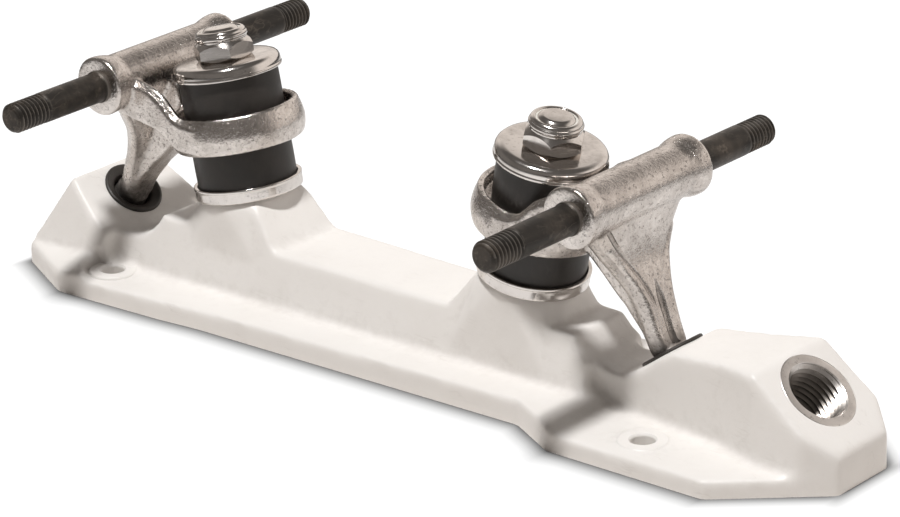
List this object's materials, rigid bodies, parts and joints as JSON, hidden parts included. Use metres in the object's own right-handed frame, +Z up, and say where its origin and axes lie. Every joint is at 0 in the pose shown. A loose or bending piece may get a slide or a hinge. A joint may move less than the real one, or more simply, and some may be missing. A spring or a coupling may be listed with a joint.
{
  "type": "roller skate plate",
  "caption": "Moulded skate plate with sprung trucks on kingpins and cushions, bare threaded axles for wheels and a threaded toe stop hole in its nose.",
  "frame": {"origin": "middle of the overall length and width, on the sole face", "axes": "+X towards the toe, +Y to the left side, +Z up from the sole face to the axles"},
  "size_m": [0.2592, 0.11, 0.0728],
  "materials": {
    "white_nylon": "satin moulded nylon with soft edges",
    "cast_aluminium": "tumbled casting, mottled satin",
    "zinc_steel": "bright zinc plate",
    "insert_steel": "turned steel, satin",
    "blackened_steel": "black oxide with scuffs",
    "black_rubber": "satin moulded rubber",
    "black_nylon": "satin moulded plastic",
    "locking_nylon": "natural nylon"
  },
  "bodies": {
    "plate": {"base_plate": "white_nylon", "toe_stop_insert": "insert_steel", "front_kingpin": "zinc_steel", "front_kingpin_nut": "zinc_steel", "front_nut_locking_ring": "locking_nylon", "front_top_cup": "zinc_steel", "front_upper_cushion": "black_rubber", "front_lower_cushion": "black_rubber", "front_bottom_cup": "zinc_steel", "front_pivot_cup": "black_nylon", "rear_kingpin": "zinc_steel", "rear_kingpin_nut": "zinc_steel", "rear_nut_locking_ring": "locking_nylon", "rear_top_cup": "zinc_steel", "rear_upper_cushion": "black_rubber", "rear_lower_cushion": "black_rubber", "rear_bottom_cup": "zinc_steel", "rear_pivot_cup": "black_nylon"},
    "front_truck": {"front_hanger": "cast_aluminium", "front_axle": "blackened_steel"},
    "rear_truck": {"rear_hanger": "cast_aluminium", "rear_axle": "blackened_steel"}
  },
  "joints": [
    {"name": "front_truck_tilt", "type": "hinge", "parent": "plate", "child": "front_truck", "pos_m": [0.07542, 0, 0.01589], "axis": [-0.8148, 0, 0.5798], "range_deg": [-10, 10], "stiffness_Nm_per_rad": 25, "deforming": ["front_upper_cushion", "front_lower_cushion"]},
    {"name": "rear_truck_tilt", "type": "hinge", "parent": "plate", "child": "rear_truck", "pos_m": [-0.11222, 0, 0.01589], "axis": [0.8148, 0, 0.5798], "range_deg": [-10, 10], "stiffness_Nm_per_rad": 25, "deforming": ["rear_upper_cushion", "rear_lower_cushion"]}
  ]
}
